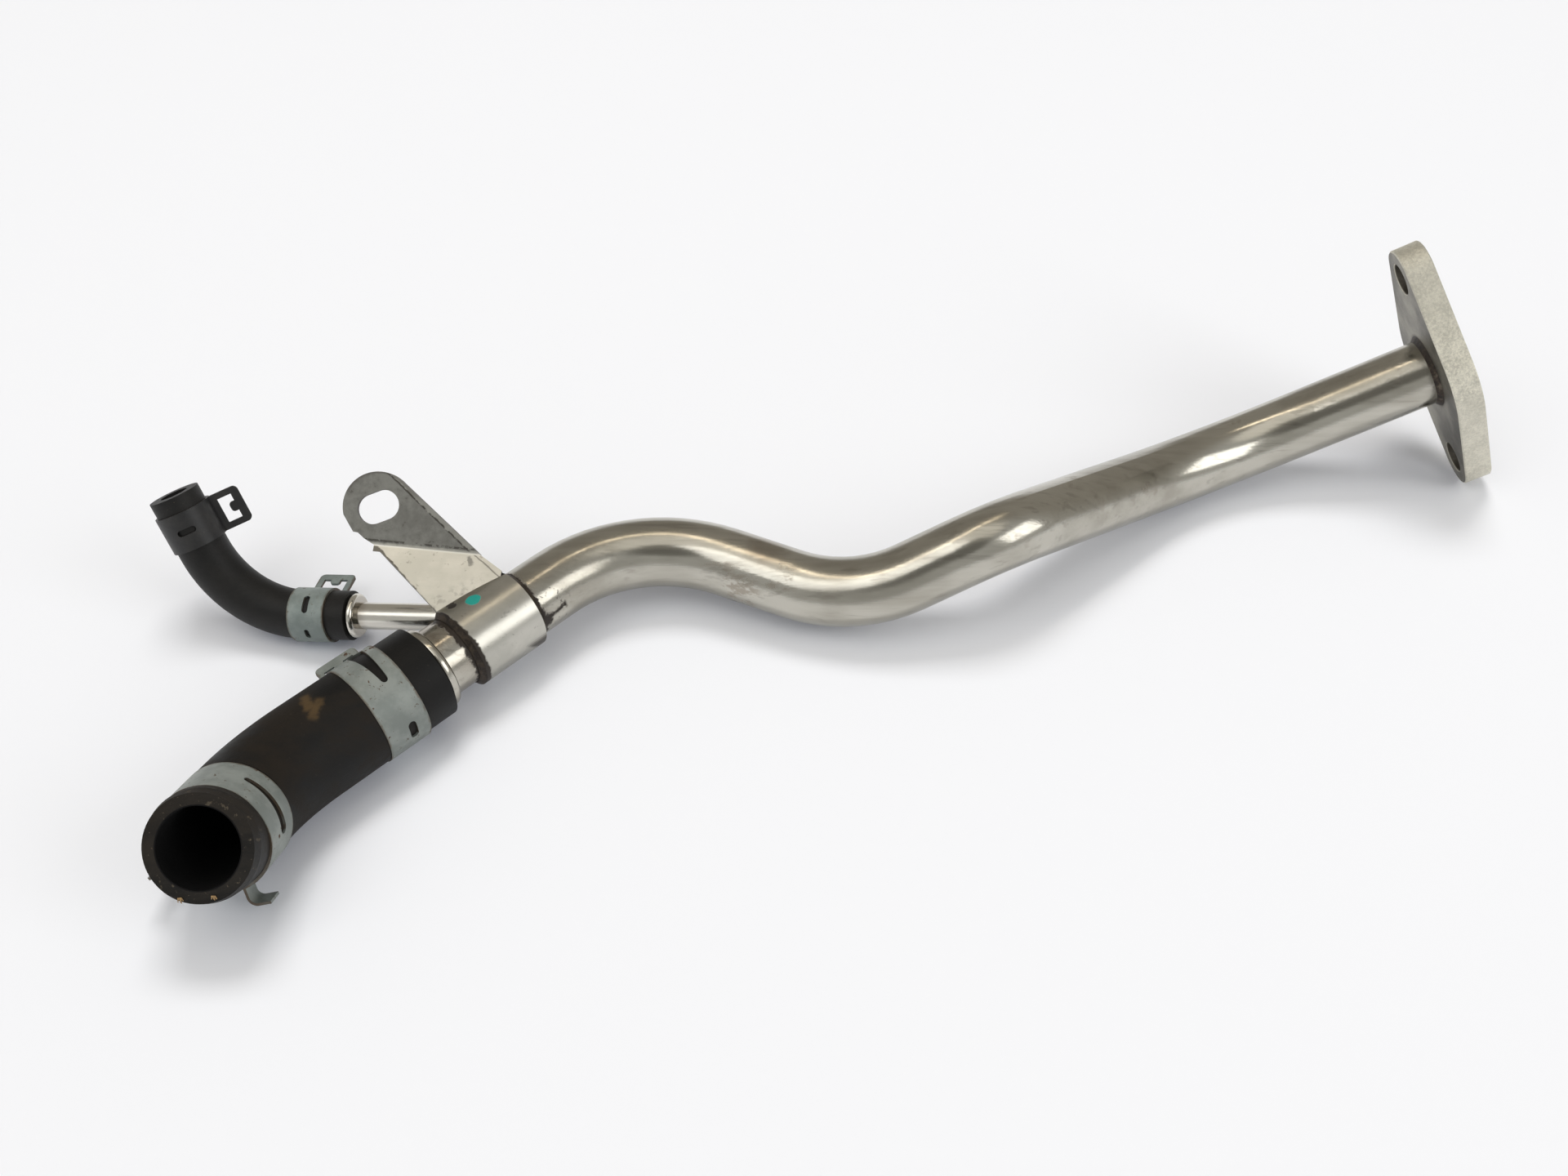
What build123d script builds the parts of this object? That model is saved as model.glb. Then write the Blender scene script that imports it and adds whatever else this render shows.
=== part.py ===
from build123d import *
import math
import os

# Coolant pipe of an engine, all lengths in millimetres.
# A bent steel tube carries a two hole flange at one end, a folded mounting bracket,
# a thin branch tube, and two rubber hoses held by spring band clamps.

# Main tube
pipe_radius = 11.1
pipe_wall = 1.2
pipe_bend_radii = [50, 51, 35, 88]
pipe_corners = [(-73.3, 33.2, 17.5), (-3.2, 4.6, 12.4), (42.2, 15.3, 31.5), (122.6, 75.9, 6.9)]

# Rolled bead that stops the large hose
stop_bead_height = 2.1
stop_bead_width = 3.4
stop_bead_edge = 1.5
stop_bead_at = 59.6

# Flange
flange_centre = (193.9, 85.0, 39.1)
flange_long_side = (0.422, -0.283, -0.861)
flange_thickness = 9.0
flange_boss_radius = 24.0
flange_lobe_radius = 10.0
flange_hole_pitch = 70.0
flange_hole_radius = 5.2
flange_edge = 0.8
flange_nick = (7.0, 6.0)
flange_nick_at = (-20.0, 24.0)
pipe_short_of_face = 1.0

# Large hose, from its free mouth to the tube
mouth_way = (0, 0.7213, -0.6927)
mouth_straight = 4.914
mouth_corner = (-176.4, -89.6, 24.4)
leg_corner = (-172.9, -66.0, 15.5)
large_mouth_bend = 42.0
run_between_bends = 0.1
large_hose_wall = 4.4
large_mouth_wall = 4.2
large_mouth_taper = (3.0, 0.7)
large_hose_end_wall = 3.9
large_hose_end_at = 57.8
pipe_end_at = 27.2

# Bracket
sheet = 2.0
sheet_reach = 40.0
fold_radius = 3.0
strap_from = 70.5
strap_to = 93.5
strap_gap = (210.0, 312.0)
crease_turn = -33.0
crease_rise = 3.5
facet_a = (-129.6, -9.1, 25.2)
facet_b = (-109.5, 2.7, 29.2)
facet_c = (-117.6, 8.3, 31.9)
facet_d = (-150.2, 10.8, 34.2)
lobe_centre = (-148.8, 19.1, 42.3)
lobe_normal = (0, -0.688, 0.725)
lobe_radius = 10.9
lobe_arc = (47, 145)
lobe_neck = [(-7.8, -7.5), (-6.3, -7.8), (-4.4, -9.6)]
slot_length = 13.0
slot_width = 9.3
slot_turn = 20.0

# Branch tube
branch_start = (-111.0, -4.4, 16.7)
branch_way = (-0.982, 0.148, -0.119)
branch_radius = 4.25
branch_wall = 0.9
branch_bead_at = 48.5
branch_bead_height = 2.75
branch_bead_width = 2.6
branch_bead_edge = 1.15
branch_inside_hose = 16.0

# Small hose
small_hose_corner_at = 40.0
small_hose_end = (-213.5, 26.2, 41.8)
small_hose_bend = 32.0
small_hose_wall = 3.55

# Spring band clamps
band = 0.8
large_band_width = 14.0
small_band_width = 12.0
large_clamp_on_pipe_at = 40.7
large_clamp_on_mouth_at = 18.0
small_clamp_on_branch_at = 13.6
small_clamp_from_end = 11.0
tang_corner = 1.6
tang_bend = 1.2
tang_rail = 2.0
tang_bar = 2.6
tang_hook = (3.9, 3.2)
tang_hook_corner = 1.0
tongue_width = 5.2
seat_bite = 0.1

# Braze
braze_leg = 1.6
braze_slope = 44
branch_braze_reach = 6.4
strap_braze_width = 1.5
strap_braze_edge = 0.3
strap_braze_slope = 45

# How far a cutting shape reaches past what it cuts
clear = 2.0

# Radii of the hoses and beads, from the tubes that they fit
stop_bead_radius = pipe_radius + stop_bead_height
large_hose_radius = pipe_radius + large_hose_wall
large_mouth_radius = pipe_radius + large_mouth_wall
large_hose_end_radius = pipe_radius + large_hose_end_wall
branch_bead_radius = branch_radius + branch_bead_height
small_hose_radius = branch_radius + small_hose_wall

os.makedirs("parts", exist_ok=True)


def unit(vector):
    return Vector(vector).normalized()


def save(solid, name):
    solid.label = name
    export_step(solid, f"parts/{name}.step")
    return solid


def cross_plane(centre, axis, towards=(0, 0, 1)):
    """The plane square to an axis, its x side leaning to a direction."""
    axis = unit(axis)
    lean = Vector(towards)
    lean = lean - axis * lean.dot(axis)
    return Plane(origin=centre, x_dir=lean, z_dir=axis)


def turned(plane, degrees):
    """The same plane with its x side turned about its own axis."""
    turn = math.radians(degrees)
    side = plane.x_dir * math.cos(turn) + plane.y_dir * math.sin(turn)
    return Plane(origin=plane.origin, x_dir=side, z_dir=plane.z_dir)


# Directions and points along the leg that carries the large hose and the bracket
leg_start = Vector(leg_corner)
leg = unit(Vector(pipe_corners[0]) - leg_start)
branch_axis = unit(branch_way)
flange_way = unit(Vector(flange_centre) - Vector(pipe_corners[-1]))


def on_leg(distance):
    return leg_start + leg * distance


def leg_plane(distance):
    return cross_plane(on_leg(distance), leg)


branch_bead_centre = Vector(branch_start) + branch_axis * branch_bead_at
small_hose_corner = branch_bead_centre + branch_axis * small_hose_corner_at
small_hose_way = unit(Vector(small_hose_end) - small_hose_corner)

# Main tube with its stop bead, and the hole under the branch
pipe_end = Vector(flange_centre) + flange_way * (flange_thickness - pipe_short_of_face)
with BuildLine() as pipe_route:
    FilletPolyline(on_leg(pipe_end_at), *pipe_corners, pipe_end, radius=pipe_bend_radii)
with BuildPart() as main_pipe:
    with BuildSketch(leg_plane(pipe_end_at)):
        Circle(pipe_radius)
    sweep(path=pipe_route.wires()[0])
    with BuildSketch(leg_plane(stop_bead_at - stop_bead_width / 2)):
        Circle(stop_bead_radius)
    extrude(amount=stop_bead_width)
    fillet(edges(Select.LAST).filter_by(GeomType.CIRCLE).group_by(SortBy.LENGTH)[-1], stop_bead_edge)
    with BuildSketch(leg_plane(pipe_end_at)):
        Circle(pipe_radius - pipe_wall)
    sweep(path=pipe_route.wires()[0], mode=Mode.SUBTRACT)
    with BuildSketch(cross_plane(branch_start, branch_axis)):
        Circle(branch_radius - branch_wall)
    extrude(amount=pipe_radius * 2, mode=Mode.SUBTRACT)
save(main_pipe.part, "main_pipe")

# Flange: the outline wraps a middle boss and two bolt lobes
flange_plane = cross_plane(flange_centre, flange_way, flange_long_side)
with BuildPart() as flange:
    with BuildSketch(flange_plane):
        Circle(flange_boss_radius)
        with Locations((flange_hole_pitch / 2, 0), (-flange_hole_pitch / 2, 0)):
            Circle(flange_lobe_radius)
        make_hull()
        with Locations(flange_nick_at):
            Rectangle(*flange_nick, mode=Mode.SUBTRACT)
        Circle(pipe_radius, mode=Mode.SUBTRACT)
        with Locations((flange_hole_pitch / 2, 0), (-flange_hole_pitch / 2, 0)):
            Circle(flange_hole_radius, mode=Mode.SUBTRACT)
    extrude(amount=flange_thickness)
    rims = faces().filter_by(flange_plane).edges()
    chamfer(rims, flange_edge / 2)
save(flange.part, "flange")

# Braze where the tube enters the flange
with BuildPart() as flange_braze:
    with BuildSketch(flange_plane):
        Circle(pipe_radius + braze_leg)
    extrude(amount=-braze_leg, taper=braze_slope)
    with BuildSketch(flange_plane):
        Circle(pipe_radius)
    extrude(amount=-braze_leg, mode=Mode.SUBTRACT)
save(flange_braze.part, "flange_braze")

# Branch tube with its bead, saddle cut to the main tube
with BuildPart() as branch_pipe:
    with BuildSketch(cross_plane(branch_start, branch_axis)):
        Circle(branch_radius)
    extrude(amount=branch_bead_at + branch_inside_hose)
    with BuildSketch(cross_plane(branch_bead_centre - branch_axis * branch_bead_width / 2, branch_axis)):
        Circle(branch_bead_radius)
    extrude(amount=branch_bead_width)
    fillet(edges(Select.LAST).filter_by(GeomType.CIRCLE).group_by(SortBy.LENGTH)[-1], branch_bead_edge)
    with BuildSketch(cross_plane(branch_start, branch_axis)):
        Circle(branch_radius - branch_wall)
    extrude(amount=branch_bead_at + branch_inside_hose, mode=Mode.SUBTRACT)
    with BuildSketch(leg_plane(strap_from)):
        Circle(pipe_radius)
    extrude(amount=strap_to - strap_from, mode=Mode.SUBTRACT)
save(branch_pipe.part, "branch_pipe")

# Braze collar at the root of the branch
with BuildPart() as branch_braze:
    with BuildSketch(cross_plane(branch_start, branch_axis)):
        Circle(branch_radius + braze_leg)
    extrude(amount=pipe_radius + branch_braze_reach)
    with BuildSketch(cross_plane(branch_start, branch_axis)):
        Circle(branch_radius)
    extrude(amount=pipe_radius + branch_braze_reach, mode=Mode.SUBTRACT)
    with BuildSketch(leg_plane(strap_from)):
        Circle(pipe_radius)
    extrude(amount=strap_to - strap_from, mode=Mode.SUBTRACT)
save(branch_braze.part, "branch_braze")

# Large hose: its mouth is squeezed thin, its body swells past the clamp
mouth_axis = unit(mouth_way)
middle_way = unit(leg_start - Vector(mouth_corner))
mouth_tangent = large_mouth_bend * math.tan(math.radians(mouth_axis.get_angle(middle_way) / 2))
mouth_centre = Vector(mouth_corner) - mouth_axis * (mouth_tangent + mouth_straight)
swell_start = Vector(mouth_corner) + middle_way * (mouth_tangent + run_between_bends)

# The bend by the clamp takes the rest of the run between the two corners
leg_tangent = (leg_start - swell_start).length - run_between_bends
large_hose_bend = leg_tangent / math.tan(math.radians(middle_way.get_angle(leg) / 2))
with BuildLine() as mouth_line:
    FilletPolyline(mouth_centre, mouth_corner, swell_start, radius=large_mouth_bend)
with BuildLine() as body_line:
    FilletPolyline(swell_start, leg_start, on_leg(large_hose_end_at), radius=large_hose_bend)
print(f"large hose bends {large_mouth_bend} and {large_hose_bend:.1f}")
mouth_route = mouth_line.wires()[0]
body_route = body_line.wires()[0]
mouth_plane = cross_plane(mouth_centre, mouth_axis)
swell_plane = cross_plane(swell_start, middle_way)
mouth_clamp_centre = mouth_route.position_at(large_clamp_on_mouth_at, position_mode=PositionMode.LENGTH)
mouth_clamp_way = mouth_route.tangent_at(large_clamp_on_mouth_at, position_mode=PositionMode.LENGTH)
with BuildPart() as large_hose:
    with BuildSketch(mouth_plane):
        Circle(large_mouth_radius)
    sweep(path=mouth_route)
    chamfer(faces().filter_by(mouth_plane).edges(), *large_mouth_taper)
    with BuildSketch(swell_plane):
        Circle(large_hose_radius)
    sweep(path=body_route)
    with BuildSketch(mouth_plane):
        Circle(pipe_radius)
    sweep(path=mouth_route, mode=Mode.SUBTRACT)
    with BuildSketch(swell_plane):
        Circle(pipe_radius)
    sweep(path=body_route, mode=Mode.SUBTRACT)
    with BuildSketch(leg_plane(large_clamp_on_pipe_at - large_band_width / 2)):
        Circle(large_hose_radius + clear)
        Circle(large_hose_end_radius, mode=Mode.SUBTRACT)
    extrude(amount=large_hose_end_at, mode=Mode.SUBTRACT)
    seat_start = mouth_clamp_centre - mouth_clamp_way * large_band_width / 2
    with BuildSketch(cross_plane(seat_start, mouth_clamp_way)):
        Circle(large_hose_radius + clear)
        Circle(large_mouth_radius - seat_bite, mode=Mode.SUBTRACT)
    extrude(amount=large_band_width, mode=Mode.SUBTRACT)
save(large_hose.part, "large_hose")

# Small hose, from the branch bead round to its free end
small_hose_start = branch_bead_centre + branch_axis * branch_bead_width / 2
with BuildPart() as small_hose:
    with BuildLine():
        FilletPolyline(small_hose_start, small_hose_corner, small_hose_end, radius=small_hose_bend)
    with BuildSketch(cross_plane(small_hose_start, branch_axis)):
        Circle(small_hose_radius)
        Circle(branch_radius, mode=Mode.SUBTRACT)
    sweep()
save(small_hose.part, "small_hose")

# Bracket: a strap wrapped round the tube, a facet folded off it and a slotted lobe folded off that
lobe_plane = Plane(origin=lobe_centre, x_dir=(1, 0, 0), z_dir=lobe_normal)
strap_radius = pipe_radius + sheet


def flat(plane, point):
    local = plane.to_local_coords(Vector(point))
    return (local.X, local.Y)


def square_to(vector, way):
    """The direction of what is left of a vector without its part along a way."""
    return unit(vector - way * vector.dot(way))


def beyond(point, corner, amount):
    """A point moved past a corner, away from the fold line."""
    return Vector(corner) + unit(Vector(corner) - Vector(point)) * amount


fold_start = lobe_plane.from_local_coords((*flat(lobe_plane, facet_d), 0))
fold_end = lobe_plane.from_local_coords((*flat(lobe_plane, facet_c), 0))
fold_way = unit(fold_end - fold_start)
facet_down = square_to((Vector(facet_a) + Vector(facet_b)) / 2 - fold_start, fold_way)
lobe_up = square_to(Vector(lobe_centre) - fold_start, fold_way)
facet_up = facet_down.cross(fold_way)
facet_plane = Plane(origin=fold_start, x_dir=fold_way, z_dir=facet_up)
bisector = unit(facet_up + unit(lobe_normal))
fold_middle = fold_start - bisector * sheet / 2 / bisector.dot(unit(lobe_normal))
fold_plane = Plane(origin=fold_middle, x_dir=lobe_up, z_dir=fold_way)

# The strap is open where the branch leaves: a wedge from its lower edge up to the crease
gap_turns = [strap_gap[0], sum(strap_gap) / 2, strap_gap[1]]
gap_outline = [(0, 0)]
for gap_turn in gap_turns:
    edge_way = math.radians(gap_turn)
    gap_outline.append((3 * strap_radius * math.cos(edge_way), 3 * strap_radius * math.sin(edge_way)))

# Outlines of the facet and the lobe, each square through its own plane
with BuildPart() as sheet_outline:
    with BuildSketch(facet_plane):
        with BuildLine():
            Polyline(
                flat(facet_plane, fold_start),
                flat(facet_plane, fold_end),
                flat(facet_plane, beyond(fold_end, facet_b, sheet)),
                flat(facet_plane, beyond(fold_start, facet_a, sheet)),
                close=True,
            )
        make_face()
    extrude(amount=sheet + clear, both=True)
    with BuildSketch(lobe_plane):
        with BuildLine():
            edge_arc = CenterArc((0, 0), lobe_radius, *lobe_arc)
            Polyline(
                edge_arc @ 1,
                *lobe_neck,
                flat(lobe_plane, fold_start),
                flat(lobe_plane, fold_start - lobe_up * sheet),
                flat(lobe_plane, fold_end - lobe_up * sheet),
                flat(lobe_plane, fold_end),
                edge_arc @ 0,
            )
        make_face()
        SlotOverall(slot_length, slot_width, rotation=slot_turn, mode=Mode.SUBTRACT)
    extrude(amount=sheet + clear, both=True)

# The sheet bent along its fold, cut to those outlines
with BuildPart() as folded_sheet:
    with BuildSketch(fold_plane):
        with BuildLine():
            FilletPolyline(
                flat(fold_plane, fold_middle + facet_down * sheet_reach),
                (0, 0),
                (sheet_reach, 0),
                radius=fold_radius,
            )
        trace(line_width=sheet)
    extrude(amount=sheet_reach, both=True)
    add(sheet_outline.part, mode=Mode.INTERSECT)

with BuildPart() as bracket:
    with BuildSketch(leg_plane(strap_from)):
        Circle(strap_radius)
        Circle(pipe_radius, mode=Mode.SUBTRACT)
        with BuildLine():
            Polyline(*gap_outline, close=True)
        make_face(mode=Mode.SUBTRACT)
    extrude(amount=strap_to - strap_from)
    crease_side = turned(leg_plane(strap_from), crease_turn)
    with BuildSketch(Plane(origin=crease_side.origin, x_dir=leg, z_dir=crease_side.x_dir)):
        strap_width = strap_to - strap_from
        with BuildLine():
            Polyline(
                (0, crease_rise),
                (strap_width, -crease_rise),
                (strap_width, strap_radius),
                (0, strap_radius),
                close=True,
            )
        make_face()
    extrude(amount=strap_radius * 2, mode=Mode.SUBTRACT)
    add(folded_sheet.part)
    with BuildSketch(leg_plane(strap_from - clear)):
        Circle(pipe_radius)
    extrude(amount=strap_to - strap_from + 2 * clear, mode=Mode.SUBTRACT)
save(bracket.part, "bracket")


# Braze runs along both ends of the strap, over the same part of the turn
for name, strap_end, width in (
    ("bracket_braze_hose_side", strap_from, strap_braze_width),
    ("bracket_braze_pipe_side", strap_to, -strap_braze_width),
):
    with BuildPart() as strap_braze:
        with BuildSketch(leg_plane(strap_end - width)):
            Circle(pipe_radius + strap_braze_edge)
        extrude(amount=width, taper=-strap_braze_slope)
        with BuildSketch(leg_plane(strap_end)):
            Circle(pipe_radius)
        extrude(amount=strap_braze_width + clear, both=True, mode=Mode.SUBTRACT)
        with BuildSketch(leg_plane(strap_end)):
            with BuildLine():
                Polyline(*gap_outline, close=True)
            make_face()
        extrude(amount=strap_braze_width + clear, both=True, mode=Mode.SUBTRACT)
        add(bracket.part, mode=Mode.SUBTRACT)
    save(strap_braze.part, name)


def spring_clamp(name, centre, axis, radius, width, fork, tongue, windows):
    """A band with windows, a wide tang with a hooked window and a narrow tang.

    fork is (degrees from the top, length), tongue adds the length of its curled tip, and a
    window is (from degrees, to degrees, width at each end, shift along the hose)."""
    around = cross_plane(centre, axis)
    middle = radius + band / 2
    with BuildPart() as clamp:
        with BuildSketch(around.offset(-width / 2)):
            Circle(radius + band)
            Circle(radius, mode=Mode.SUBTRACT)
        extrude(amount=width)

        # Windows, round at both ends
        for first, last, first_width, last_width, shift in windows:
            side = turned(around, (first + last) / 2)
            half_way = radius * math.sin(math.radians(last - first) / 2)
            with BuildSketch(Plane(origin=side.origin, x_dir=side.y_dir, z_dir=side.x_dir)):
                with Locations((-half_way + first_width / 2, shift)):
                    Circle(first_width / 2)
                with Locations((half_way - last_width / 2, shift)):
                    Circle(last_width / 2)
                make_hull()
            extrude(amount=radius * 2, mode=Mode.SUBTRACT)

        # Wide tang: a frame with a hook in its window, bent up from the band
        fork_turn, fork_length = fork
        side = turned(around, fork_turn)
        opening = fork_length - tang_bar - tang_bend
        with BuildSketch(Plane(origin=side.origin, x_dir=side.x_dir, z_dir=side.y_dir)):
            with Locations((middle + fork_length / 2, 0)):
                RectangleRounded(fork_length, width, tang_corner)
            with Locations((middle + tang_corner, 0)):
                Rectangle(2 * tang_corner, width)
            with Locations((middle + tang_bend + opening / 2, 0)):
                Rectangle(opening, width - 2 * tang_rail, mode=Mode.SUBTRACT)
            with Locations((middle + fork_length - tang_bar, 0)):
                RectangleRounded(*tang_hook, tang_hook_corner)
        extrude(amount=band / 2, both=True)
        with BuildSketch(Plane(origin=side.origin - axis * width / 2, x_dir=side.x_dir, z_dir=axis)):
            with BuildLine():
                FilletPolyline(
                    (middle, 2 * tang_bend),
                    (middle, 0),
                    (middle + 2 * tang_bend, 0),
                    radius=tang_bend,
                )
            trace(line_width=band)
        extrude(amount=width)

        # Narrow tang, with its tip curled away from the wide one
        tongue_turn, tongue_length, curl = tongue
        side = turned(around, tongue_turn)
        with BuildSketch(Plane(origin=side.origin - axis * tongue_width / 2, x_dir=side.x_dir, z_dir=axis)):
            with BuildLine():
                FilletPolyline(
                    (middle, 2 * tang_bend),
                    (middle, 0),
                    (middle + tongue_length, 0),
                    (middle + tongue_length, curl),
                    radius=[tang_bend, min(2 * tang_bend, abs(curl) * 0.9)],
                )
            trace(line_width=band)
        extrude(amount=tongue_width)
        with BuildSketch(around.offset(-width)):
            Circle(radius)
        extrude(amount=2 * width, mode=Mode.SUBTRACT)
    return save(clamp.part, name)


spring_clamp(
    "large_clamp_on_pipe",
    centre=on_leg(large_clamp_on_pipe_at),
    axis=leg,
    radius=large_hose_end_radius,
    width=large_band_width,
    fork=(273, 7.5),
    tongue=(240, 4.5, -1.5),
    windows=[(-50, 27, 5.0, 2.2, 1.6), (76, 101, 2.6, 2.6, 1.4)],
)
spring_clamp(
    "large_clamp_on_mouth",
    centre=mouth_clamp_centre,
    axis=mouth_clamp_way,
    radius=large_mouth_radius - seat_bite,
    width=large_band_width,
    fork=(234, 9.0),
    tongue=(163, 7.5, -6.0),
    windows=[(20, 95, 1.6, 3.0, 1.0)],
)
spring_clamp(
    "small_clamp_on_branch",
    centre=branch_bead_centre + branch_axis * small_clamp_on_branch_at,
    axis=branch_axis,
    radius=small_hose_radius,
    width=small_band_width,
    fork=(96, 11.2),
    tongue=(114, 2.5, -1.2),
    windows=[(-42, 2, 2.0, 2.0, 0), (258, 285, 1.6, 1.6, 0)],
)
spring_clamp(
    "small_clamp_on_end",
    centre=Vector(small_hose_end) - small_hose_way * small_clamp_from_end,
    axis=small_hose_way,
    radius=small_hose_radius,
    width=small_band_width,
    fork=(70, 9.5),
    tongue=(150, 4.0, 1.5),
    windows=[(-47, -3, 2.0, 2.0, 0)],
)
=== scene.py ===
import math
import bmesh
import bpy
from mathutils import Matrix, Vector


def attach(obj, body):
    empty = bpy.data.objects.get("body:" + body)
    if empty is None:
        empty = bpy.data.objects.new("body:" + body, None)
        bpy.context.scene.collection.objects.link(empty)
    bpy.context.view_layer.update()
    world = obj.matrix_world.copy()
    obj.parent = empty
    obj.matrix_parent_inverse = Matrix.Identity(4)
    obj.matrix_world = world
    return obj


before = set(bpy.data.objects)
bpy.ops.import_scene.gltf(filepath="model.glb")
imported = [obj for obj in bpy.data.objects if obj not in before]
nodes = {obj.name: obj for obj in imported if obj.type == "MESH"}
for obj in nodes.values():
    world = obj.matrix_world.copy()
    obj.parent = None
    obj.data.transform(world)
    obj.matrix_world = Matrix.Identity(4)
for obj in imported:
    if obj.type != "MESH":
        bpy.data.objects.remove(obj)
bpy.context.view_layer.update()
mm = 0.001
print("frame loaded:", len(nodes), "nodes")


# camera

photoView = {
    "place": (-25.76, -327.72, 369.87),     # mm
    "down": 46.481,                         # degrees below the horizon
    "yaw": -0.217,
    "roll": 0.332,
    "lens": 35.625,
    "sensor": 36.0,
}

cameraData = bpy.data.cameras.new("photoCamera")
cameraData.lens = photoView["lens"]
cameraData.sensor_width = photoView["sensor"]
cameraData.clip_start = 0.01
cameraData.clip_end = 20
camera = bpy.data.objects.new("photoCamera", cameraData)
bpy.context.scene.collection.objects.link(camera)
aim = Matrix.Rotation(math.radians(photoView["yaw"]), 4, "Z")
aim = aim @ Matrix.Rotation(math.radians(90 - photoView["down"]), 4, "X")
aim = aim @ Matrix.Rotation(-math.radians(photoView["roll"]), 4, "Z")
camera.matrix_world = Matrix.Translation(Vector(photoView["place"]) * mm) @ aim
bpy.context.scene.camera = camera
bpy.context.scene.view_settings.view_transform = "Standard"


# shader maths: a wire is a socket that can be added, multiplied and taken away

class Wire:
    def __init__(self, shader, socket):
        self.shader = shader
        self.socket = socket

    def maths(self, operation, first, second=0.0):
        return self.shader.node("ShaderNodeMath", {"operation": operation}, {0: first, 1: second})

    def __add__(self, other):
        return self.maths("ADD", self, other)

    def __radd__(self, other):
        return self.maths("ADD", other, self)

    def __sub__(self, other):
        return self.maths("SUBTRACT", self, other)

    def __rsub__(self, other):
        return self.maths("SUBTRACT", other, self)

    def __mul__(self, other):
        return self.maths("MULTIPLY", self, other)

    def __rmul__(self, other):
        return self.maths("MULTIPLY", other, self)

    def __abs__(self):
        return self.maths("ABSOLUTE", self)

    def over(self, other):
        return self.maths("MAXIMUM", self, other)


class Shader:
    def __init__(self, name):
        self.material = bpy.data.materials.new(name)
        self.material.use_nodes = True
        self.tree = self.material.node_tree
        self.tree.nodes.clear()
        self.surface = self.tree.nodes.new("ShaderNodeBsdfPrincipled")
        ending = self.tree.nodes.new("ShaderNodeOutputMaterial")
        self.tree.links.new(self.surface.outputs[0], ending.inputs["Surface"])
        self.place = self.node("ShaderNodeTexCoord", output="Object")
        self.facing = self.node("ShaderNodeNewGeometry", output="True Normal")

    # any node: its settings first, then the values or wires of its sockets
    def node(self, kind, settings=None, inputs=None, output=0):
        made = self.tree.nodes.new(kind)
        for name, value in (settings or {}).items():
            setattr(made, name, value)
        for name, value in (inputs or {}).items():
            self.feed(made.inputs[name], value)
        return Wire(self, made.outputs[output])

    def feed(self, socket, value):
        if isinstance(value, Wire):
            self.tree.links.new(value.socket, socket)
        elif socket.type == "RGBA":
            socket.default_value = (*value, 1) if len(value) == 3 else value
        else:
            socket.default_value = value

    def finish(self, **sockets):
        for name, value in sockets.items():
            self.feed(self.surface.inputs[name.replace("_", " ")], value)
        return self.material

    # place, turned so that x runs along a direction, then stretched
    def grainPlace(self, way, stretch):
        turn = Vector(way).to_track_quat("X", "Z").inverted().to_euler()
        return self.node(
            "ShaderNodeMapping",
            {"vector_type": "POINT"},
            {"Vector": self.place, "Rotation": tuple(turn), "Scale": stretch},
        )

    def noise(self, scale, detail=4.0, roughness=0.55, where=None, distortion=0.0):
        return self.node(
            "ShaderNodeTexNoise",
            {"noise_dimensions": "3D"},
            {
                "Vector": where or self.place,
                "Scale": scale,
                "Detail": detail,
                "Roughness": roughness,
                "Distortion": distortion,
            },
        )

    def step(self, value, low, high, start=0.0, end=1.0):
        return self.node(
            "ShaderNodeMapRange",
            {"interpolation_type": "SMOOTHSTEP", "clamp": True},
            {"Value": value, "From Min": low, "From Max": high, "To Min": start, "To Max": end},
        )

    # 1 below the first value, 0 above the second
    def fade(self, value, low, high):
        return self.step(value, low, high, 1.0, 0.0)

    # noise about zero, for uneven borders
    def ragged(self, scale, detail=4.0):
        return self.noise(scale, detail, 0.7) - 0.5

    def mix(self, factor, first, second):
        made = self.tree.nodes.new("ShaderNodeMix")
        made.data_type = "RGBA"
        self.feed(made.inputs[0], factor)
        self.feed(made.inputs[6], first)
        self.feed(made.inputs[7], second)
        return Wire(self, made.outputs[2])

    def vectorMaths(self, operation, first, second, output=0):
        sockets = {0: first, 1: second}
        return self.node("ShaderNodeVectorMath", {"operation": operation}, sockets, output)

    # distance in mm from a point
    def away(self, point):
        return self.vectorMaths("DISTANCE", self.place, tuple(Vector(point) * mm), "Value") * 1000

    # 1 close to a point, 0 beyond the radius and its soft edge
    def near(self, point, radius, soft, ragged=0.0):
        return self.fade(self.away(point) + ragged, radius, radius + soft)

    def placeFrom(self, origin):
        return self.vectorMaths("SUBTRACT", self.place, tuple(Vector(origin) * mm))

    # how far along a direction a place lies from an origin, in mm
    def along(self, origin, way):
        return self.vectorMaths("DOT_PRODUCT", self.placeFrom(origin), tuple(way), "Value") * 1000

    # distance in mm from the line through an origin
    def aside(self, origin, way):
        across = self.vectorMaths("CROSS_PRODUCT", self.placeFrom(origin), tuple(way))
        return self.vectorMaths("LENGTH", across, (0, 0, 0), "Value") * 1000

    # 1 where the surface faces a direction or its opposite
    def faces(self, way, low=0.8, high=0.95):
        facing = self.vectorMaths("DOT_PRODUCT", self.facing, tuple(way), "Value")
        return self.step(abs(facing), low, high)

    # 1 along a stretch from one point to another
    def stroke(self, first, last, radius, soft, ragged=0.0):
        first, last = Vector(first), Vector(last)
        run = (last - first).length
        way = (last - first) / run
        fromMiddle = abs(self.along(first, way) - run / 2)
        band = self.fade(fromMiddle, run / 2, run / 2 + soft)
        return band * self.fade(self.aside(first, way) + ragged, radius, radius + soft)

    def bump(self, height, strength, distance):
        return self.node(
            "ShaderNodeBump",
            inputs={"Height": height, "Strength": strength, "Distance": distance},
        )


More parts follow.
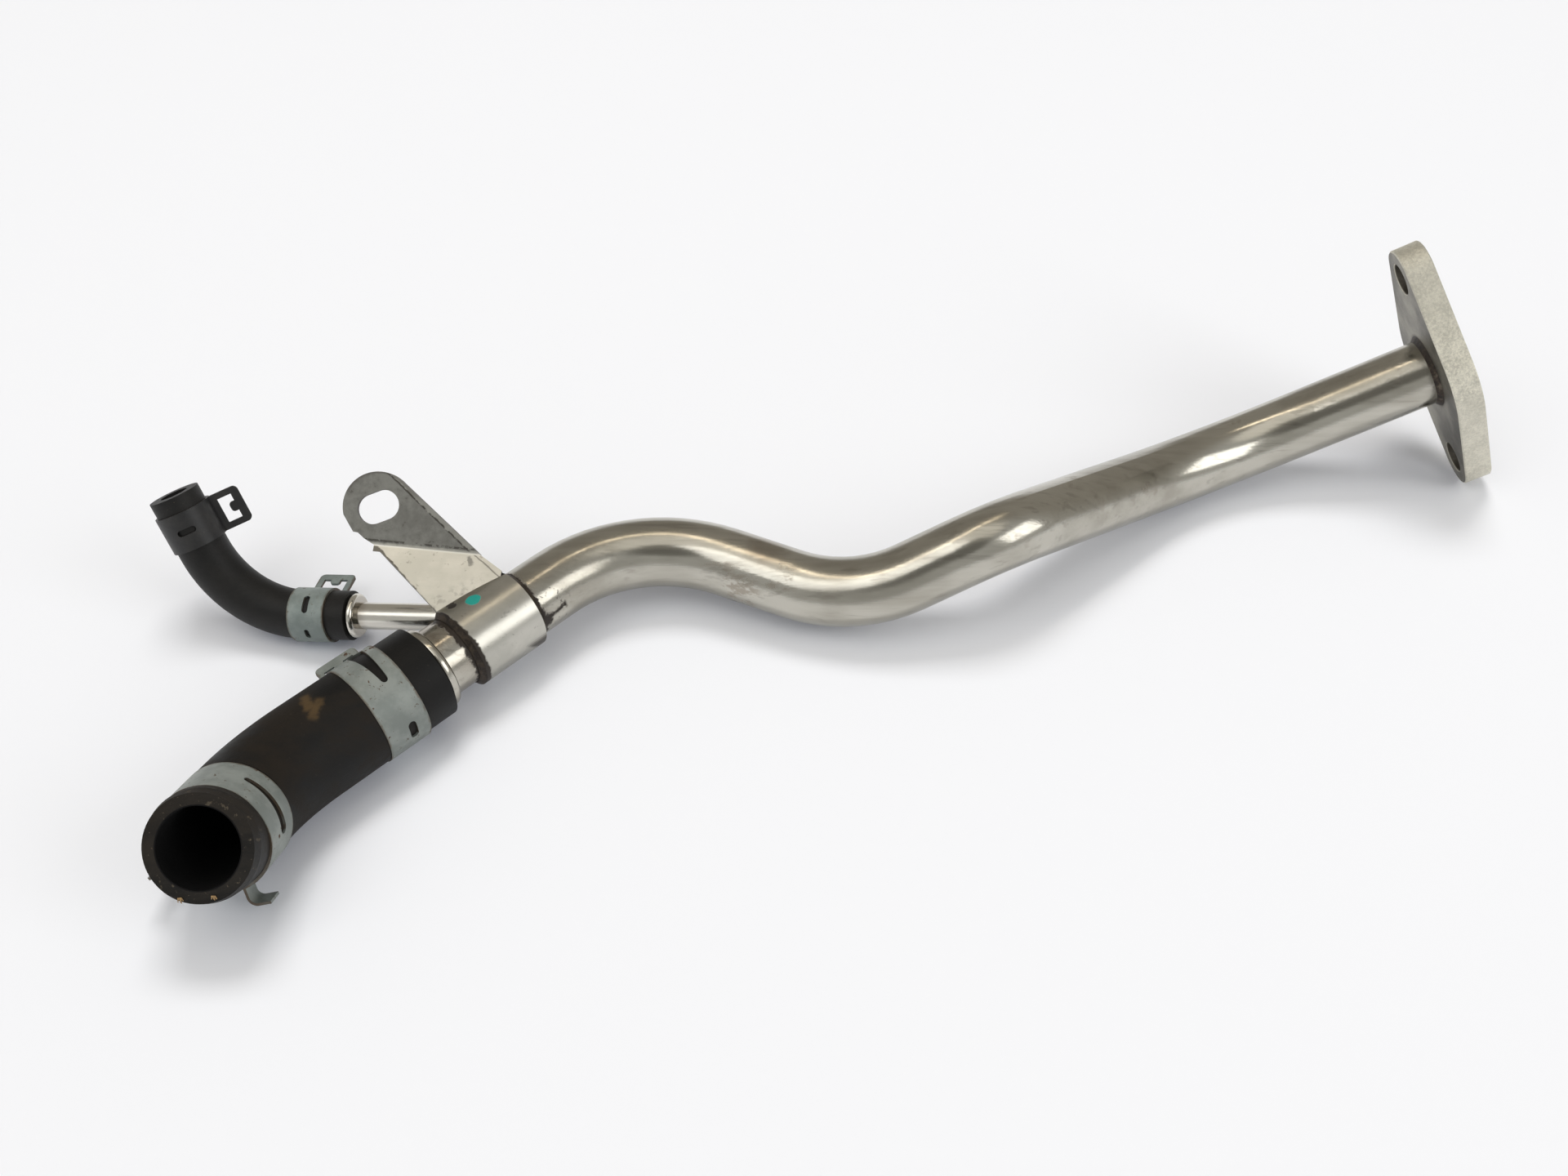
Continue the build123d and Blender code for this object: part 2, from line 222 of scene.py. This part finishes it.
# places on the pipe in mm, the same as the solids follow

part = {
    "legStart": (-172.9, -66.0, 15.5),
    "legWay": (0.7085, 0.7056, 0.0142),
    "foldStart": (-150.2, 10.69, 34.32),
    "lobeUp": (0.1036, 0.7215, 0.6846),
    "lobeNormal": (0, -0.6884, 0.7254),
    "lobeCentre": (-148.8, 19.1, 42.3),
    "facetUp": (0.0364, -0.391, 0.9197),
    "branchStart": (-111.0, -4.4, 16.7),
    "branchWay": (-0.982, 0.148, -0.119),
    "smallEnd": (-213.5, 26.2, 41.8),
    "smallEndWay": (-0.3659, 0.4104, 0.8353),
    "mouthCentre": (-176.4, -99.7, 34.1),
    "mouthWay": (0, 0.7213, -0.6927),
    "mouthClampWay": (0.102, 0.8869, -0.4505),
    "flangeCentre": (193.9, 85.0, 39.1),
    "flangeWay": (0.9053, 0.1155, 0.4088),
}


# tube: drawn stainless, streaked along its length, scorched by the strap's braze

tubeLook = {
    "bright": (0.515, 0.495, 0.437),
    "dull": (0.375, 0.355, 0.305),
    "brown": (0.19, 0.14, 0.095),
    "scorch": (0.022, 0.015, 0.010),
    "roughness": (0.14, 0.24),
    "edgeSlant": 0.065,     # the dark band leans round the tube
    "edgeUp": (-0.5623, 0.5521, 0.6156),
    "edgeAt": 71.15,
    "bandWidth": 3.7,
    "mainWay": (0.86, 0.5, 0.05),
    "drawnLine": (0.22, 0.20, 0.17),
    "polished": (0.95, 0.92, 0.85),
    "drips": [((-45.0, 10.2, 18.5), 3, 6), ((-38.6, 7.8, 16.0), 4, 6), ((-25.5, 6.3, 22.2), 3, 4)],
    "dripWay": (0.45, -0.55, -0.7),
    "rubbedAt": (-29.5, 17.5, 25.3),
    "splatAt": (-97.4, -6.2, 17.6),
    "splatRun": [(-97.6, -6.4, 18.4), (-92.0, -0.9, 19.3)],
    "flecksAt": (-94.5, -3.0, 20.5),
}


# 1 in the dark ragged band beside the strap on the hose side
def strapScorch(s, ragged):
    lean = Vector(part["legWay"]) + Vector(tubeLook["edgeUp"]) * tubeLook["edgeSlant"]
    beside = s.along(part["legStart"], lean) - tubeLook["edgeAt"]
    reach = tubeLook["bandWidth"]
    left = s.step(beside + ragged * 4.5, -reach - 0.5, 0.5 - reach)
    right = s.fade(beside + ragged * 2.2, -0.2, 0.5)
    return left * right


def tubeSteel(name, way, wear=1.0):
    s = Shader(name)
    cloud = s.noise(22, 3)
    blotch = s.noise(75, 5, 0.6, distortion=0.6)
    streak = s.noise(160, 4, 0.6, where=s.grainPlace(way, (0.06, 1, 1)))
    fine = s.noise(1700, 2, where=s.grainPlace(way, (0.03, 1, 1)))
    grain = s.noise(1300, 3)
    tone = s.step(cloud * 0.6 + streak * 0.4, 0.38, 0.62)
    colour = s.mix(tone, tubeLook["bright"], tubeLook["dull"])
    smear = s.step(blotch, 0.60, 0.74) * (0.35 * wear)
    colour = s.mix(smear, colour, tubeLook["brown"])
    drawn = s.noise(420, 3, 0.6, where=s.grainPlace(way, (0.02, 1, 1)))
    colour = s.mix(s.step(drawn, 0.56, 0.68) * 0.3, colour, tubeLook["drawnLine"])
    low, high = tubeLook["roughness"]
    rough = s.step(cloud * 0.5 + streak * 0.5, 0.35, 0.65, low, high) + smear * 0.3
    return s, colour, rough, fine * 0.6 + grain * 0.4, blotch


def mainTube(name):
    s, colour, rough, height, blotch = tubeSteel(name, tubeLook["mainWay"])
    ragged = s.ragged(420, 5)
    fleck = s.noise(620, 4, 0.7)
    first, second, third = (s.near(*drip) for drip in tubeLook["drips"])
    drips = first.over(second).over(third)
    dripGrain = s.noise(300, 4, 0.65, where=s.grainPlace(tubeLook["dripWay"], (0.11, 1, 1)))
    dripMask = drips * s.step(dripGrain + ragged * 0.25, 0.50, 0.60)
    colour = s.mix(dripMask * 0.45, colour, tubeLook["brown"])
    rubbed = s.near(tubeLook["rubbedAt"], 3, 7, ragged * 6)
    colour = s.mix(rubbed * 0.4, colour, tubeLook["brown"])
    stub = s.along(part["legStart"], part["legWay"])
    upper = s.along(part["legStart"], tubeLook["edgeUp"])
    tint = s.step(stub + ragged * 6, 58, 66) * s.fade(stub, 71, 72)
    tint = tint * s.step(upper + ragged * 6, 0, 5, 0.25, 0.75)
    colour = s.mix(tint * s.step(blotch, 0.40, 0.55, 0.3, 1.0), colour, tubeLook["brown"])
    scorch = strapScorch(s, ragged) * s.step(stub, 60, 62)
    onPipe = s.step(stub, 92.5, 93.2)
    seam = onPipe * s.fade(stub + ragged * 3.4, 95.5, 96.3)
    splat = s.near(tubeLook["splatAt"], 1.5, 1.6, ragged * 5)
    splat = splat.over(s.stroke(*tubeLook["splatRun"], 0.3, 1.0, ragged * 5))
    flecks = s.near(tubeLook["flecksAt"], 4, 5) * s.step(fleck, 0.60, 0.66) * 0.8
    dark = scorch.over(seam).over(splat * onPipe).over(flecks * onPipe)
    colour = s.mix(dark, colour, tubeLook["scorch"])
    return s.finish(
        Base_Color=colour,
        Metallic=s.step(dark, 0.2, 0.8, 1.0, 0.25),
        Roughness=rough + dark * 0.35 + dripMask * 0.2,
        Normal=s.bump(height + ragged * dark * 1.5, 0.10, 0.0003),
    )


def branchTube(name):
    s, colour, rough, height, blotch = tubeSteel(name, part["branchWay"], wear=0.5)
    colour = s.mix(0.45, colour, tubeLook["polished"])
    along = s.along(part["branchStart"], part["branchWay"])
    ragged = s.ragged(300)
    root = s.fade(along + ragged * 8, 12, 19)
    behind = s.step(along, 43, 47) * s.fade(along, 46.8, 47.6)
    colour = s.mix(root * 0.7, colour, tubeLook["brown"])
    colour = s.mix(behind * 0.45, colour, tubeLook["brown"])
    return s.finish(
        Base_Color=colour,
        Metallic=1.0,
        Roughness=rough * 0.85 + root * 0.25,
        Normal=s.bump(height, 0.08, 0.0003),
    )


# bracket: matt lobe, satin facet and strap, paint dot

bracketLook = {
    "satin": (0.53, 0.515, 0.465),
    "satinDull": (0.44, 0.43, 0.385),
    "lobe": (0.225, 0.225, 0.205),
    "lobeDark": (0.165, 0.163, 0.148),
    # edge colour: for dirt, and for painted shade on the cut edges and round the lobe
    "edge": (0.050, 0.040, 0.030),
    "line": (0.030, 0.024, 0.019),
    "teal": (0.008, 0.27, 0.225),
    "tealAt": (-118.1, -8.2, 29.5),
    "inkAt": [(-125.4, -8.2, 27.6), (-124.3, -10.0, 28.3)],
    "tealRadius": 2.25,
    "inkRadius": 1.35,
    "rightEdge": [(-117.6, 8.2, 32.0), (0.667, 0.690, 0.267)],
    "leftEdge": [(-139.8, 2.7, 30.5), (-0.745, -0.623, -0.235)],
    "creaseRun": [(-131.0, -6.5, 26.6), (-116.0, 0.5, 29.6)],
    "markRun": [(-121.2, 7.4, 31.6), (-120.2, 5.2, 30.8)],
    "brushedWay": (0.6, -0.6, -0.4),
    "lobeEdge": (0.703, 0.516, 0.489),
    "lobeRadius": 11.3,
    "ink": (0.012, 0.009, 0.008),
}


def bracketSteel(name):
    s = Shader(name)
    look = bracketLook
    cloud = s.noise(40, 4)
    grain = s.noise(1500, 3)
    spots = s.noise(420, 4, 0.65)
    ragged = s.ragged(420, 5)
    brushed = s.noise(700, 3, where=s.grainPlace(look["brushedWay"], (0.05, 1, 1)))
    clouds = s.noise(90, 5, 0.65)
    height = s.along(part["foldStart"], part["lobeUp"])
    lobe = s.step(height + ragged * 0.8, 0.2, 1.2)
    satinTone = s.step(cloud * 0.5 + clouds * 0.4 + brushed * 0.1, 0.38, 0.60)
    satin = s.mix(satinTone, look["satin"], look["satinDull"])
    matt = s.mix(s.step(cloud * 0.5 + spots * 0.5, 0.40, 0.62), look["lobe"], look["lobeDark"])
    colour = s.mix(lobe, satin, matt)
    foldLine = s.fade(abs(height + ragged * 0.6 - 0.2), 0.15, 0.9)
    colour = s.mix(foldLine * 0.5, colour, look["satin"])
    # the sheet's cut edges and the slot walls are darkened: partly dirt, partly painted shade
    onFacet = s.step(height, -27, -26)
    square = s.faces(part["lobeNormal"], 0.25, 0.5).over(s.faces(part["facetUp"], 0.25, 0.5))
    cutEdgeShadeAndDirt = onFacet * (1 - square)
    across = s.along(part["lobeCentre"], look["lobeEdge"])
    roll = (look["lobeRadius"] - across + ragged * 1.1) - 1.7
    lobeLine = s.fade(abs(roll), 0.10, 0.38) * lobe * s.step(ragged, -0.16, -0.02)
    rolled = s.fade(roll, -0.1, 0.1) * lobe
    # the lobe is darkened in a band along its round outer edge: partly dirt, partly painted shade
    rim = s.step(s.away(part["lobeCentre"]) + ragged * 1.2, 10.0, 10.6) * s.step(height, 14, 17)
    onlyFacet = s.step(height, 0.0, -0.5) * s.faces(part["facetUp"], 0.97, 0.99)
    fromRight = s.along(*look["rightEdge"]) + ragged
    fromLeft = s.along(*look["leftEdge"]) + ragged * 2.0
    rightLine = s.fade(abs(fromRight + 1.2), 0.10, 0.35) * 0.6
    leftShade = s.step(fromLeft, 0.95, 1.35) * 0.8
    edgeLines = (lobeLine * 0.85).over(rightLine * onlyFacet).over(leftShade * onlyFacet)
    foldDark = s.fade(abs(height + ragged * 0.8 - 1.5), 0.15, 0.45)
    edgeLines = edgeLines.over(foldDark * s.step(spots, 0.44, 0.52) * 0.7)
    dirt = s.step(spots, 0.62, 0.70) * 0.35
    colour = s.mix(rolled * 0.35, colour, look["satinDull"])
    colour = s.mix((cutEdgeShadeAndDirt * 0.9).over(rim * 0.4), colour, look["edge"])
    colour = s.mix(edgeLines, colour, look["line"])
    colour = s.mix(dirt, colour, look["edge"])
    scorch = strapScorch(s, ragged) * s.step(height, -14, -17)
    creaseFlecks = s.stroke(*look["creaseRun"], 0.8, 2.6, ragged * 4) * s.step(spots, 0.50, 0.60)
    mark = s.stroke(*look["markRun"], 0.25, 0.7, ragged * 3)
    scorch = scorch.over(creaseFlecks * 0.22).over(mark * 0.5)
    colour = s.mix(scorch, colour, tubeLook["scorch"])
    dotEdge = (s.noise(500, 2) - 0.5) * 0.7
    teal = s.near(look["tealAt"], look["tealRadius"], 0.25, dotEdge)
    upperInk, lowerInk = (s.near(spot, look["inkRadius"], 0.3, dotEdge) for spot in look["inkAt"])
    ink = upperInk.over(lowerInk)
    colour = s.mix(teal, colour, look["teal"])
    colour = s.mix(ink, colour, look["ink"])
    paint = teal.over(ink)
    bare = (1 - paint) * (1 - scorch * 0.7) * (1 - lobe * 0.45)
    return s.finish(
        Base_Color=colour,
        Metallic=bare,
        Roughness=0.24 + cloud * 0.12 + lobe * 0.2 + scorch * 0.25 + paint * 0.1,
        Normal=s.bump(grain * (0.35 + lobe) + brushed * 0.4 + teal * 0.8, 0.12, 0.0003),
    )


# flange: shot blasted rim with painted shade darkening it towards both ends, smoother face, a dark
# ring round the tube

flangeLook = {
    "rim": (0.86, 0.83, 0.72),
    "rimDarkAndEndShade": (0.56, 0.54, 0.465),
    "face": (0.125, 0.119, 0.105),
    "faceWorn": (0.34, 0.325, 0.28),
    "downWay": (0.421, -0.283, -0.861),
    # the braze colour also paints the shade inside the bolt holes
    "braze": (0.055, 0.045, 0.035),
    "holes": [(212.7, 75.6, 10.8), (183.2, 95.4, 71.1)],
}


def flangeSteel(name):
    s = Shader(name)
    look = flangeLook
    grain = s.noise(1100, 4, 0.7)
    speck = s.noise(1250, 3, 0.75)
    cloud = s.noise(40, 5, 0.6)
    flat = s.faces(part["flangeWay"])
    patches = s.noise(170, 5, 0.65)
    rimTone = s.step(speck * 0.5 + patches * 0.35 + cloud * 0.15, 0.38, 0.62)
    rim = s.mix(rimTone, look["rim"], look["rimDarkAndEndShade"])
    # painted shade: the rim is darkened towards both ends of the flange, where its flats turn from
    # the light
    down = s.along(part["flangeCentre"], look["downWay"])
    dull = s.step(down, 0, 5, 0.0, 0.45) + s.step(down, -30, -14, 0.4, 0.0)
    rim = s.mix(dull, rim, look["rimDarkAndEndShade"])
    face = s.mix(s.step(cloud, 0.35, 0.7), look["face"], look["faceWorn"])
    colour = s.mix(flat, rim, face)
    ring = s.near(part["flangeCentre"], 12.4, 1.6, (speck - 0.5) * 1.6)
    colour = s.mix(ring * 0.7, colour, look["braze"])
    # painted shade: the walls of the bolt holes are painted near black with the braze colour
    for hole in look["holes"]:
        holeShade = s.step(s.aside(hole, part["flangeWay"]), 5.25, 5.6, 0.9, 0.0)
        colour = s.mix(holeShade, colour, look["braze"])
    return s.finish(
        Base_Color=colour,
        Metallic=0.85,
        Roughness=0.50 - flat * 0.08 + cloud * 0.12,
        Normal=s.bump(grain, 0.45, 0.0004),
    )


# braze

brazeLook = {
    "dark": (0.020, 0.014, 0.010),
    "brown": (0.055, 0.040, 0.027),
    "bright": (0.30, 0.26, 0.20),
}


def braze(name, brightness):
    s = Shader(name)
    lump = s.noise(420, 5, 0.65)
    colour = s.mix(s.step(lump, 0.38, 0.62), brazeLook["dark"], brazeLook["brown"])
    colour = s.mix(s.step(lump, 0.55, 0.72) * brightness, colour, brazeLook["bright"])
    return s.finish(
        Base_Color=colour,
        Metallic=0.4,
        Roughness=0.42 + lump * 0.25,
        Normal=s.bump(lump, 0.7, 0.0007),
    )


# spring clamps: zinc flake coat with rust specks and brown sheared edges

clampLook = {
    "coat": (0.20, 0.222, 0.208),
    "coatPale": (0.275, 0.298, 0.28),
    "edge": (0.10, 0.072, 0.048),
    "rust": (0.085, 0.042, 0.022),
    "worn": (0.18, 0.17, 0.155),
    "scratchWay": (0.5, 0.3, 0.8),
    "onPipe": (-144.06, -37.28, 16.08),
    "onMouth": (-175.73, -85.54, 23.15),
    "onBranch": (-171.97, 4.79, 9.31),
    "largeHalf": 7.0,
    "smallHalf": 6.0,
    "branchTint": (1.0, 1.06, 1.08),
    "black": (0.010, 0.010, 0.011),
    "blackPale": (0.022, 0.021, 0.020),
    "blackWorn": (0.06, 0.055, 0.05),
}


def zincCoat(name, centre, axis, halfWidth, rust=1.0, tint=(1.0, 1.0, 1.0)):
    s = Shader(name)
    cloud = s.noise(130, 4, 0.6)
    speck = s.noise(480, 4, 0.7)
    grain = s.noise(1800, 2)
    scratch = s.noise(900, 3, 0.6, where=s.grainPlace(clampLook["scratchWay"], (0.08, 1, 1)))
    pale = tuple(c * t for c, t in zip(clampLook["coatPale"], tint))
    coat = tuple(c * t for c, t in zip(clampLook["coat"], tint))
    colour = s.mix(s.step(cloud, 0.36, 0.66), coat, pale)
    worn = s.step(scratch, 0.66, 0.74) * 0.35
    colour = s.mix(worn, colour, clampLook["worn"])
    rusty = s.step(speck, 0.60, 0.65) * s.step(cloud, 0.42, 0.58) * rust
    colour = s.mix(rusty, colour, clampLook["rust"])
    ragged = s.ragged(380)
    fromCentre = abs(s.along(centre, axis)) + ragged * 1.6
    border = s.step(fromCentre, halfWidth - 0.75, halfWidth - 0.1)
    colour = s.mix(border * s.step(cloud, 0.36, 0.56, 0.2, 0.8), colour, clampLook["edge"])
    sheared = s.faces(axis, 0.75, 0.95)
    colour = s.mix(sheared * s.step(cloud, 0.30, 0.55, 0.35, 0.95), colour, clampLook["edge"])
    return s.finish(
        Base_Color=colour,
        Metallic=0.35,
        Roughness=0.44 + rusty * 0.3 + cloud * 0.12,
        Normal=s.bump(grain * 0.5 + speck * 0.5, 0.22, 0.0003),
    )


def blackCoat(name, axis):
    s = Shader(name)
    cloud = s.noise(160, 4, 0.6)
    speck = s.noise(700, 3, 0.7)
    colour = s.mix(s.step(cloud, 0.4, 0.7), clampLook["black"], clampLook["blackPale"])
    worn = s.faces(axis, 0.75, 0.95) * 0.5 + s.step(speck, 0.66, 0.72) * 0.3
    colour = s.mix(worn, colour, clampLook["blackWorn"])
    return s.finish(
        Base_Color=colour,
        Metallic=0.0,
        Roughness=0.36 + cloud * 0.2,
        Normal=s.bump(speck, 0.2, 0.0003),
    )


# hoses

hoseLook = {
    "black": (0.0036, 0.0035, 0.0034),
    "brown": (0.0150, 0.0110, 0.0075),
    "dust": (0.085, 0.070, 0.050),
    "smear": (0.13, 0.080, 0.032),
    "boreShade": (0.0015, 0.0015, 0.0018),
    "rim": (0.027, 0.023, 0.018),
    "small": (0.0070, 0.0068, 0.0066),
    "smallPale": (0.0125, 0.0118, 0.0108),
    "rubWay": (0.5, 0.85, 0.1),
    "upperSmear": [(-160.6, -46.5, 30.3), (-158.2, -51.0, 31.3)],
    "lowerSmear": [(-156.8, -54.0, 31.2), (-156.0, -48.5, 31.3)],
}


def largeRubber(name):
    s = Shader(name)
    look = hoseLook
    cloud = s.noise(38, 5, 0.6, distortion=0.5)
    rub = s.noise(150, 5, 0.65, where=s.grainPlace(look["rubWay"], (0.25, 1, 1)))
    speck = s.noise(800, 3, 0.7)
    grain = s.noise(1900, 2)
    ragged = s.ragged(330)
    fromMouth = s.away(part["mouthCentre"])
    brownish = s.step(cloud * 0.6 + rub * 0.4, 0.38, 0.60) * s.fade(fromMouth, 62, 84)
    colour = s.mix(brownish * 0.85, look["black"], look["brown"])
    rim = s.fade(fromMouth, 14.5, 18.5)
    colour = s.mix(rim * s.step(rub, 0.35, 0.6) * 0.45, colour, look["rim"])
    crumbs = s.step(s.noise(420, 4, 0.7), 0.62, 0.67) * rim
    specks = s.step(speck, 0.665, 0.71) * (rim * 0.8 + 0.15)
    specks = specks.over(crumbs * 0.8)
    colour = s.mix(specks, colour, look["dust"])
    upper = s.stroke(*look["upperSmear"], 0.5, 2.0, ragged * 4.0)
    lower = s.stroke(*look["lowerSmear"], 0.4, 1.9, ragged * 4.0)
    smear = upper.over(lower) * s.step(rub, 0.30, 0.60, 0.4, 1.0)
    colour = s.mix(smear * 0.5, colour, look["smear"])
    # painted shade: the bore inside the mouth is painted near black
    boreShade = s.fade(s.aside(part["mouthCentre"], part["mouthWay"]), 11.3, 11.6)
    colour = s.mix(boreShade, colour, look["boreShade"])
    return s.finish(
        Base_Color=colour,
        Specular_IOR_Level=0.25,
        Roughness=0.52 + brownish * 0.2 + specks * 0.2 + boreShade * 0.2,
        Normal=s.bump(grain * 0.5 + speck * 0.3 + rub * 0.4, 0.28, 0.0004),
    )


def smallRubber(name):
    s = Shader(name)
    look = hoseLook
    cloud = s.noise(70, 4, 0.6)
    speck = s.noise(900, 3, 0.7)
    grain = s.noise(1900, 2)
    colour = s.mix(s.step(cloud, 0.4, 0.65), look["small"], look["smallPale"])
    fromEnd = s.away(part["smallEnd"])
    tip = s.fade(fromEnd, 7, 11)
    specks = s.step(speck, 0.66, 0.70) * (tip * 0.8 + 0.06)
    colour = s.mix(specks, colour, look["dust"])
    return s.finish(
        Base_Color=colour,
        Specular_IOR_Level=0.30,
        Roughness=0.46 + cloud * 0.15,
        Normal=s.bump(grain * 0.6 + speck * 0.4, 0.25, 0.0004),
    )


finishes = {
    "main_pipe": mainTube("tubeSteel"),
    "branch_pipe": branchTube("branchSteel"),
    "bracket": bracketSteel("bracketSteel"),
    "flange": flangeSteel("flangeSteel"),
    "flange_braze": braze("flangeBraze", 0.35),
    "branch_braze": braze("branchBraze", 0.2),
    "bracket_braze_hose_side": braze("bracketBrazeHoseSide", 0.0),
    "bracket_braze_pipe_side": braze("bracketBrazePipeSide", 0.0),
    "large_hose": largeRubber("largeHoseRubber"),
    "small_hose": smallRubber("smallHoseRubber"),
    "large_clamp_on_pipe": zincCoat(
        "pipeClampCoat", clampLook["onPipe"], part["legWay"], clampLook["largeHalf"]
    ),
    "large_clamp_on_mouth": zincCoat(
        "mouthClampCoat", clampLook["onMouth"], part["mouthClampWay"], clampLook["largeHalf"]
    ),
    "small_clamp_on_branch": zincCoat(
        "branchClampCoat",
        clampLook["onBranch"],
        part["branchWay"],
        clampLook["smallHalf"],
        rust=0.5,
        tint=clampLook["branchTint"],
    ),
    "small_clamp_on_end": blackCoat("endClampCoat", part["smallEndWay"]),
}
for node, finish in finishes.items():
    mesh = nodes[node].data
    mesh.materials.clear()
    mesh.materials.append(finish)
print("finishes on", len(finishes), "nodes")


# fibres of the hose's fabric that stand out of the mouth's lower rim

fibreLook = {
    "tufts": [(-181.3, -109.0, 24.7), (-172.6, -108.7, 25.0)],
    "strands": [(0.0, 0.0), (0.45, 0.25), (-0.40, 0.15), (0.10, -0.35)],
    "length": 1.9,
    "thickness": 0.26,
    "tipShare": 0.45,       # of the thickness at the foot
    "rootShare": 0.35,      # of the length from the foot to the middle
    "edge": 0.05,
    "colour": (0.42, 0.27, 0.12),
    "colourDark": (0.20, 0.13, 0.07),
}


def fibreCord(name):
    s = Shader(name)
    tone = s.noise(2500, 3)
    colour = s.mix(s.step(tone, 0.4, 0.65), fibreLook["colour"], fibreLook["colourDark"])
    return s.finish(Base_Color=colour, Roughness=0.85)


fibreMesh = bmesh.new()
for tuft in fibreLook["tufts"]:
    for sideways, forward in fibreLook["strands"]:
        lean = Vector((sideways * 0.7, -0.15 + forward * 0.3, -1)).normalized()
        foot = Vector(tuft) + Vector((sideways, 0, 0.3))
        middle = foot + lean * fibreLook["length"] * fibreLook["rootShare"]
        turn = lean.to_track_quat("Z", "Y").to_matrix().to_4x4()
        strand = bmesh.ops.create_cone(
            fibreMesh,
            cap_ends=True,
            segments=7,
            radius1=fibreLook["thickness"] * mm,
            radius2=fibreLook["thickness"] * mm * fibreLook["tipShare"],
            depth=fibreLook["length"] * mm,
            matrix=Matrix.Translation(middle * mm) @ turn,
        )
        edges = {edge for corner in strand["verts"] for edge in corner.link_edges}
        bmesh.ops.bevel(
            fibreMesh,
            geom=list(edges),
            offset=fibreLook["edge"] * mm,
            segments=1,
            profile=0.5,
            affect="EDGES",
            material=-1,
        )
fibreData = bpy.data.meshes.new("hose_fibres")
bmesh.ops.recalc_face_normals(fibreMesh, faces=fibreMesh.faces)
fibreMesh.to_mesh(fibreData)
fibreMesh.free()
fibres = bpy.data.objects.new("hose_fibres", fibreData)
bpy.context.scene.collection.objects.link(fibres)
fibreData.materials.append(fibreCord("fibreCord"))
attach(fibres, "root")
print("fibres made")


# floor, world and lamps

stageSet = {
    "floorSide": 8.0,
    "floorColour": (0.88, 0.89, 0.92),
    "floorLift": (0.03, 0.035, 0.05),
    "skyDark": (0.34, 0.32, 0.285),
}

# what lies over the dark sky: colour, direction, cosine where it starts and ends, share at both
skyParts = [
    ((0.52, 0.52, 0.505), (0.0, -1.0, 0.25), (-0.25, 0.45), (0.0, 1.0)),
    ((0.98, 0.95, 0.88), (0.0, -0.18, 1.0), (0.90, 0.95), (0.0, 1.0)),
    ((0.14, 0.135, 0.12), (-0.01, -0.62, 0.785), (0.915, 0.975), (0.0, 0.85)),
    ((0.80, 0.81, 0.82), (0.0, 0.0, 1.0), (0.0, 0.16), (1.0, 0.0)),
]

floorMesh = bmesh.new()
bmesh.ops.create_grid(floorMesh, x_segments=1, y_segments=1, size=stageSet["floorSide"] / 2)
floorData = bpy.data.meshes.new("floor")
floorMesh.to_mesh(floorData)
floorMesh.free()
floor = bpy.data.objects.new("floor", floorData)
bpy.context.scene.collection.objects.link(floor)
floorShader = Shader("paleFloor")
seen = floorShader.node("ShaderNodeLightPath", output="Is Camera Ray")
for ray in ("Is Glossy Ray", "Is Transmission Ray"):
    seen = seen + floorShader.node("ShaderNodeLightPath", output=ray)
floorData.materials.append(
    floorShader.finish(
        Base_Color=stageSet["floorColour"],
        Roughness=0.95,
        Emission_Color=floorShader.mix(seen, (0, 0, 0), stageSet["floorLift"]),
        Emission_Strength=1.0,
    )
)

world = bpy.data.worlds.new("studio")
bpy.context.scene.world = world
world.use_nodes = True
sky = world.node_tree
sky.nodes.clear()


def skyNode(kind, settings, inputs):
    made = sky.nodes.new(kind)
    for name, value in settings.items():
        setattr(made, name, value)
    for name, value in inputs.items():
        if isinstance(value, bpy.types.NodeSocket):
            sky.links.new(value, made.inputs[name])
        else:
            made.inputs[name].default_value = value
    return made


def skyShare(towards, span, shares):
    way = tuple(Vector(towards).normalized())
    facing = skyNode("ShaderNodeVectorMath", {"operation": "DOT_PRODUCT"}, {0: skyPlace, 1: way})
    return skyNode(
        "ShaderNodeMapRange",
        {"interpolation_type": "SMOOTHSTEP"},
        {
            "Value": facing.outputs["Value"],
            "From Min": span[0],
            "From Max": span[1],
            "To Min": shares[0],
            "To Max": shares[1],
        },
    ).outputs[0]


skyPlace = skyNode("ShaderNodeTexCoord", {}, {}).outputs["Generated"]
whole = (*stageSet["skyDark"], 1)
for colour, towards, span, shares in skyParts:
    share = skyShare(towards, span, shares)
    layer = {0: share, 6: whole, 7: (*colour, 1)}
    whole = skyNode("ShaderNodeMix", {"data_type": "RGBA"}, layer).outputs[2]
glow = skyNode("ShaderNodeBackground", {}, {"Color": whole, "Strength": 1.0})
skyNode("ShaderNodeOutputWorld", {}, {"Surface": glow.outputs[0]})


def softLight(name, turn, rise, distance, size, radiance, colour=(1, 1, 1), mirrored=True):
    data = bpy.data.lights.new(name, "AREA")
    data.shape = "RECTANGLE"
    data.size, data.size_y = size
    data.energy = radiance * math.pi * size[0] * size[1]
    data.color = colour
    lamp = bpy.data.objects.new(name, data)
    bpy.context.scene.collection.objects.link(lamp)
    turn, rise = math.radians(turn), math.radians(rise)
    flat = math.cos(rise)
    way = Vector((flat * math.sin(turn), flat * math.cos(turn), math.sin(rise)))
    lamp.rotation_mode = "QUATERNION"
    lamp.rotation_quaternion = (-way).to_track_quat("-Z", "Y")
    lamp.location = way * distance
    lamp.visible_glossy = mirrored


# turn is measured from straight behind the pipe, clockwise from above
softLight(
    "topSoftbox", turn=-5, rise=66, distance=3.6, size=(1.45, 1.1), radiance=9.3, mirrored=False
)
softLight(
    "topStrip",
    turn=-40,
    rise=75,
    distance=2.0,
    size=(1.9, 0.12),
    radiance=3.4,
    colour=(1, 0.86, 0.66),
)
softLight("rightSoftbox", turn=116, rise=34, distance=2.0, size=(1.15, 1.05), radiance=2.0)
softLight("leftSoftbox", turn=-126, rise=57, distance=2.0, size=(1.15, 1.15), radiance=1.3)
print("stage set")
